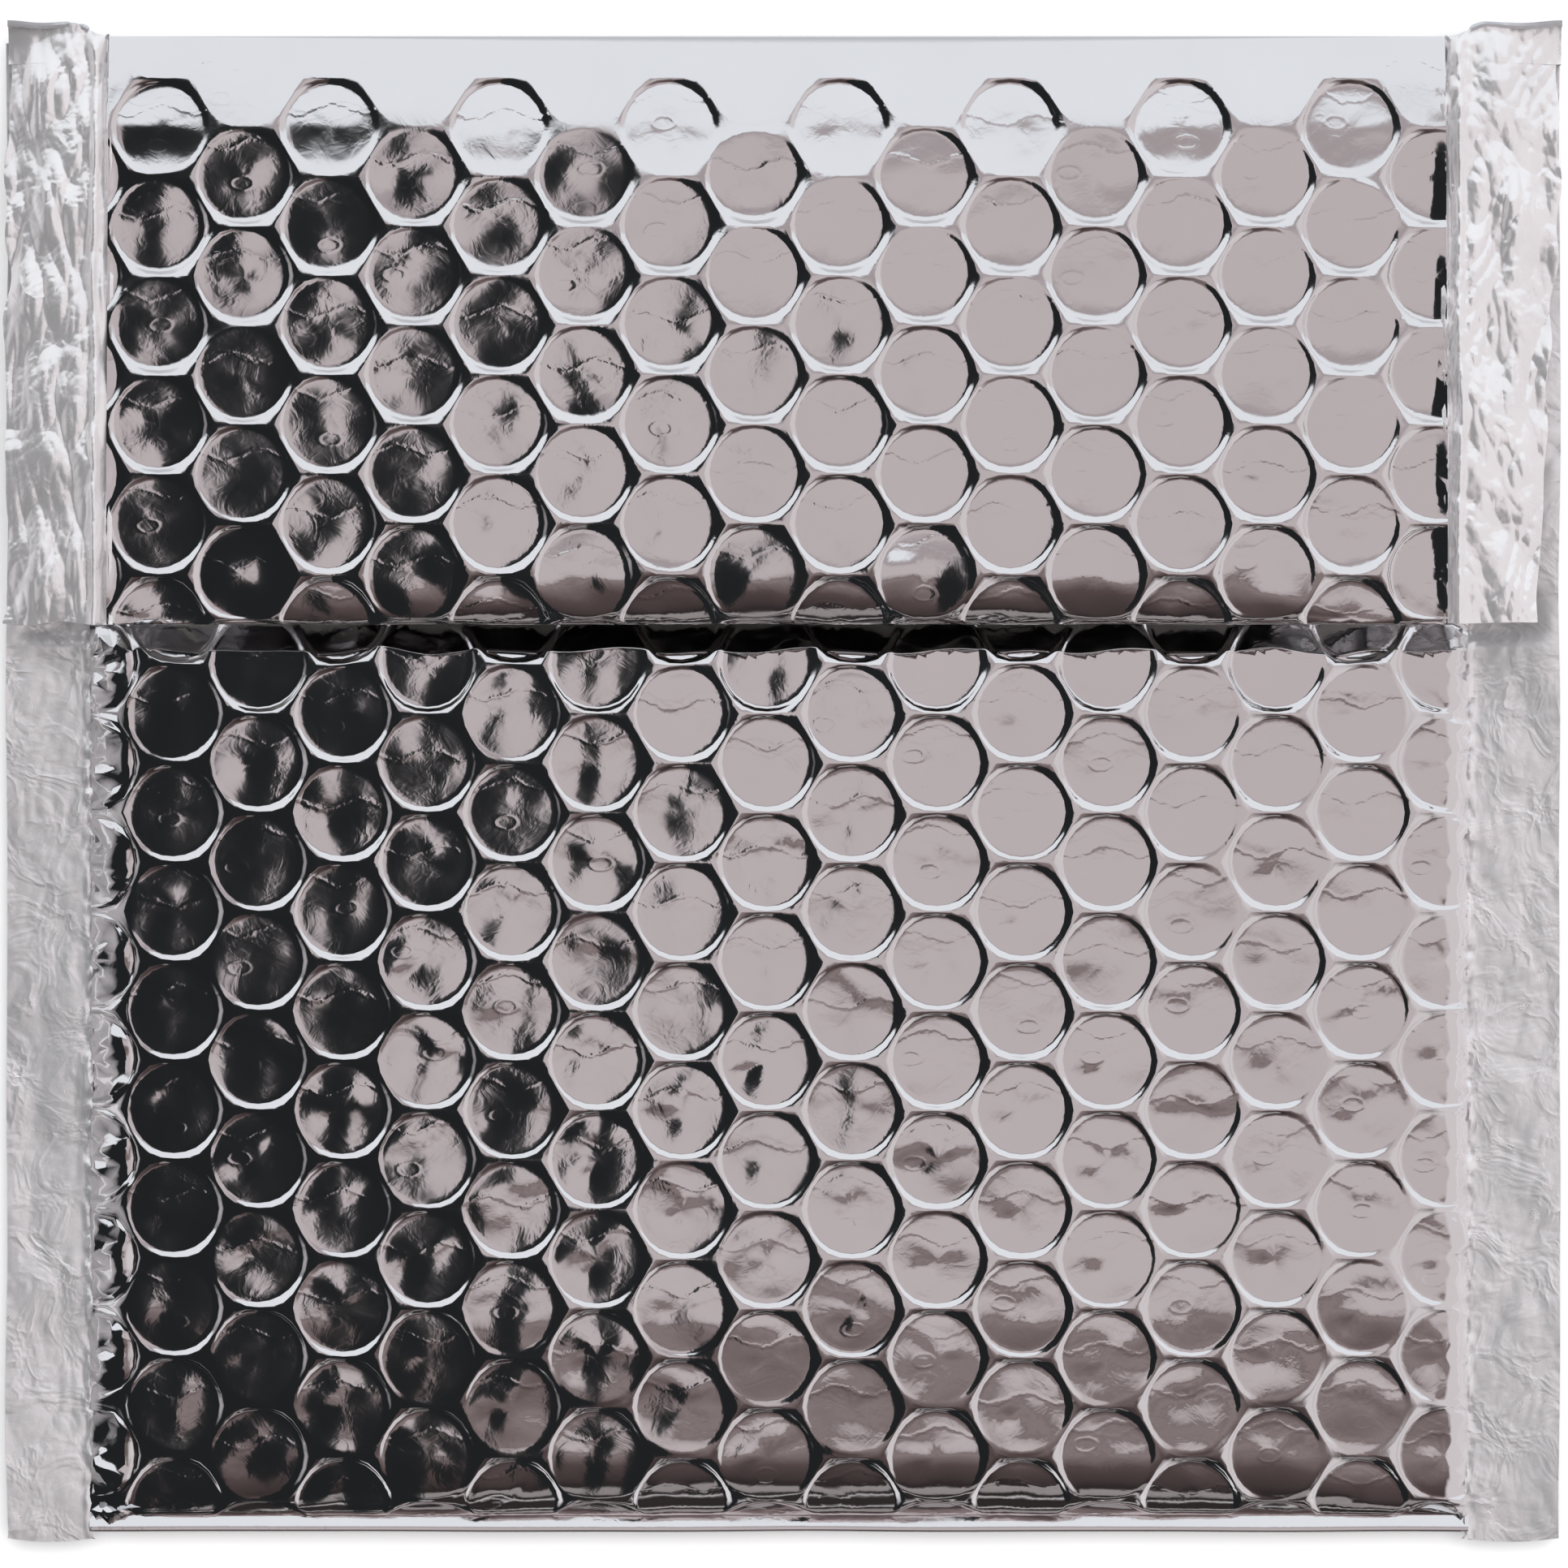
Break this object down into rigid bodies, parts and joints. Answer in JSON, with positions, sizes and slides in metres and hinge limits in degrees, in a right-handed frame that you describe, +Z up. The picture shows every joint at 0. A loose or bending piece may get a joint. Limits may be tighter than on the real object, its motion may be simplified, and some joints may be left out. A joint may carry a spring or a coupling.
{
  "type": "padded bubble mailer",
  "caption": "Flat padded envelope of metallised film bonded to air bubbles, with welded side seals, a fold-over closing flap, an adhesive strip and its pull-off liner.",
  "frame": {"origin": "on the surface the mailer lies on, under the middle of its overall length and width, flap closed", "axes": "+X to the right across the mailer, +Y towards the folded top edge, +Z up through the front panel and flap"},
  "size_m": [0.178, 0.174, 0.0184],
  "materials": {
    "foil": "glossy metallised film",
    "weld": "satin, wrinkled metallised film",
    "inner_film": "semi-gloss film",
    "clear_film": "glossy clear film",
    "adhesive": "tacky gloss",
    "liner": "silicone-coated paper"
  },
  "bodies": {
    "pocket": {"back_foil": "foil", "back_bubble_film": "clear_film", "back_inner_film": "inner_film", "front_foil": "foil", "front_bubble_film": "clear_film", "front_inner_film": "inner_film", "left_seal": "weld", "right_seal": "weld", "bottom_fold": "weld"},
    "fold_strip": {"fold_foil": "foil", "fold_inner_film": "inner_film", "fold_left_ear": "weld", "fold_right_ear": "weld"},
    "flap": {"flap_foil": "foil", "flap_bubble_film": "clear_film", "flap_inner_film": "inner_film", "flap_left_seal": "weld", "flap_right_seal": "weld", "adhesive_strip": "adhesive"},
    "liner": {"release_liner": "liner"}
  },
  "joints": [
    {"name": "flap_fold", "type": "hinge", "parent": "pocket", "child": "fold_strip", "pos_m": [0, 0.0852, 0.004], "axis": [-1, 0, 0], "range_deg": [0, 90]},
    {"name": "flap_crease", "type": "hinge", "parent": "fold_strip", "child": "flap", "pos_m": [0, 0.0852, 0.0144], "axis": [-1, 0, 0], "range_deg": [0, 90]},
    {"name": "liner_peel", "type": "slide", "parent": "flap", "child": "liner", "axis": [1, 0, 0], "range_m": [0, 0.17]}
  ],
  "couplings": [
    {"joint": "flap_crease", "follows": "flap_fold", "ratio": 1}
  ]
}
